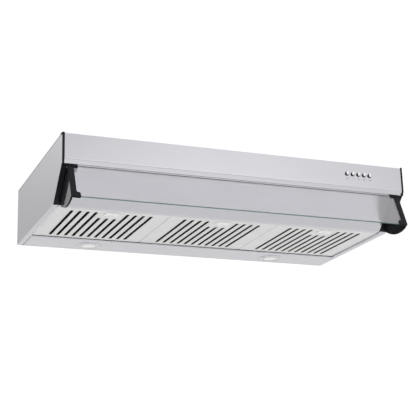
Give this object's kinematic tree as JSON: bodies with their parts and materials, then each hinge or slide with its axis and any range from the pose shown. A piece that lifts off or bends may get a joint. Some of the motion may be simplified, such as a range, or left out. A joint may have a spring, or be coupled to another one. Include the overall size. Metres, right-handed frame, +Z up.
{
  "type": "under cabinet range hood",
  "caption": "Slim steel under-cabinet range hood with a tilting glass visor, slotted grease filters, lamps, push buttons, twin blowers and a round duct collar.",
  "frame": {"origin": "middle of the upper face of the flat top panel, which is the centre of the four cabinet screw holes", "axes": "+X to the right seen from the front, +Y back towards the wall, +Z up into the cabinet"},
  "size_m": [0.9024, 0.5035, 0.209],
  "materials": {
    "brushed_steel": "fine satin stainless sheet",
    "steel_back": "plain zinc-coated sheet, unpolished",
    "black_plastic": "black semi-gloss moulding",
    "glass": "clear float glass, ground edges with a green tint",
    "pin_steel": "ground steel",
    "filter_paint": "light grey satin paint",
    "mesh": "dark expanded mesh",
    "latch_plastic": "white moulding",
    "lamp_metal": "satin plated",
    "lamp_lens": "frosted white cover",
    "circuit_board": "white solder mask with pale yellow chips",
    "button_chrome": "polished plating",
    "switch_plastic": "dark moulding",
    "blower_plastic": "dark grey moulding",
    "impeller_plastic": "mid grey moulding",
    "motor_metal": "grey lacquer",
    "collar_plastic": "black moulding",
    "capacitor": "white can",
    "screw_zinc": "zinc-plated"
  },
  "bodies": {
    "hood": {"front_fascia": "brushed_steel", "lower_front_panel": "brushed_steel", "left_side_panel": "brushed_steel", "right_side_panel": "brushed_steel", "lamp_panel": "brushed_steel", "top_panel": "steel_back", "back_panel": "steel_back", "left_end_cap": "black_plastic", "right_end_cap": "black_plastic", "pivot_pins": "pin_steel", "damper_spindle": "pin_steel", "left_lamp_housing": "lamp_metal", "right_lamp_housing": "lamp_metal", "left_lamp_lens": "lamp_lens", "right_lamp_lens": "lamp_lens", "left_lamp_board": "circuit_board", "right_lamp_board": "circuit_board", "switch_bank": "switch_plastic", "terminal_box": "switch_plastic", "terminal_cover": "switch_plastic", "cable_gland": "switch_plastic", "left_scroll_upper": "blower_plastic", "left_scroll_lower": "blower_plastic", "right_scroll_upper": "blower_plastic", "right_scroll_lower": "blower_plastic", "outlet_box": "blower_plastic", "left_motor": "motor_metal", "right_motor": "motor_metal", "duct_collar": "collar_plastic", "run_capacitor": "capacitor", "case_screws": "screw_zinc"},
    "visor": {"visor_glass": "glass", "left_visor_arm": "black_plastic", "right_visor_arm": "black_plastic"},
    "left_impeller": {"left_impeller": "impeller_plastic", "left_motor_shaft": "pin_steel"},
    "right_impeller": {"right_impeller": "impeller_plastic", "right_motor_shaft": "pin_steel"},
    "left_flap": {"left_flap": "collar_plastic"},
    "right_flap": {"right_flap": "collar_plastic"},
    "left_filter": {"left_filter_panel": "filter_paint", "left_filter_mesh": "mesh", "left_latch_case": "latch_plastic"},
    "left_latch": {"left_latch_slide": "latch_plastic"},
    "middle_filter": {"middle_filter_panel": "filter_paint", "middle_filter_mesh": "mesh", "middle_latch_case": "latch_plastic"},
    "middle_latch": {"middle_latch_slide": "latch_plastic"},
    "right_filter": {"right_filter_panel": "filter_paint", "right_filter_mesh": "mesh", "right_latch_case": "latch_plastic"},
    "right_latch": {"right_latch_slide": "latch_plastic"},
    "off_button": {"off_button": "button_chrome"},
    "speed_1_button": {"speed_1_button": "button_chrome"},
    "speed_2_button": {"speed_2_button": "button_chrome"},
    "speed_3_button": {"speed_3_button": "button_chrome"},
    "light_button": {"light_button": "button_chrome"}
  },
  "joints": [
    {"name": "visor_tilt", "type": "hinge", "parent": "hood", "child": "visor", "pos_m": [0, -0.2225, -0.079], "axis": [1, 0, 0], "range_deg": [0, 68.82]},
    {"name": "left_filter_tilt", "type": "hinge", "parent": "hood", "child": "left_filter", "pos_m": [-0.28967, 0.14, -0.145], "axis": [1, 0, 0], "range_deg": [0, 60]},
    {"name": "left_latch_slide", "type": "slide", "parent": "left_filter", "child": "left_latch", "axis": [0, 1, 0], "range_m": [0, 0.006], "stiffness_N_per_m": 300, "springref_m": -0.003},
    {"name": "middle_filter_tilt", "type": "hinge", "parent": "hood", "child": "middle_filter", "pos_m": [0, 0.14, -0.145], "axis": [1, 0, 0], "range_deg": [0, 60]},
    {"name": "middle_latch_slide", "type": "slide", "parent": "middle_filter", "child": "middle_latch", "axis": [0, 1, 0], "range_m": [0, 0.006], "stiffness_N_per_m": 300, "springref_m": -0.003},
    {"name": "right_filter_tilt", "type": "hinge", "parent": "hood", "child": "right_filter", "pos_m": [0.28967, 0.14, -0.145], "axis": [1, 0, 0], "range_deg": [0, 60]},
    {"name": "right_latch_slide", "type": "slide", "parent": "right_filter", "child": "right_latch", "axis": [0, 1, 0], "range_m": [0, 0.006], "stiffness_N_per_m": 300, "springref_m": -0.003},
    {"name": "left_impeller_spin", "type": "hinge", "parent": "hood", "child": "left_impeller", "pos_m": [-0.225, -0.02226, -0.06], "axis": [0, 0, 1], "continuous": true},
    {"name": "right_impeller_spin", "type": "hinge", "parent": "hood", "child": "right_impeller", "pos_m": [0.225, -0.02226, -0.06], "axis": [0, 0, 1], "continuous": true},
    {"name": "left_flap_swing", "type": "hinge", "parent": "hood", "child": "left_flap", "pos_m": [0, 0.0525, 0.012], "axis": [0, 1, 0], "range_deg": [0, 75]},
    {"name": "right_flap_swing", "type": "hinge", "parent": "hood", "child": "right_flap", "pos_m": [0, 0.0525, 0.012], "axis": [0, -1, 0], "range_deg": [0, 75]},
    {"name": "off_button_press", "type": "slide", "parent": "hood", "child": "off_button", "axis": [0, 1, 0], "range_m": [0, 0.003], "stiffness_N_per_m": 400, "springref_m": -0.002},
    {"name": "speed_1_button_press", "type": "slide", "parent": "hood", "child": "speed_1_button", "axis": [0, 1, 0], "range_m": [0, 0.003], "stiffness_N_per_m": 400, "springref_m": -0.002},
    {"name": "speed_2_button_press", "type": "slide", "parent": "hood", "child": "speed_2_button", "axis": [0, 1, 0], "range_m": [0, 0.003], "stiffness_N_per_m": 400, "springref_m": -0.002},
    {"name": "speed_3_button_press", "type": "slide", "parent": "hood", "child": "speed_3_button", "axis": [0, 1, 0], "range_m": [0, 0.003], "stiffness_N_per_m": 400, "springref_m": -0.002},
    {"name": "light_button_press", "type": "slide", "parent": "hood", "child": "light_button", "axis": [0, 1, 0], "range_m": [0, 0.003], "stiffness_N_per_m": 400, "springref_m": -0.002}
  ]
}
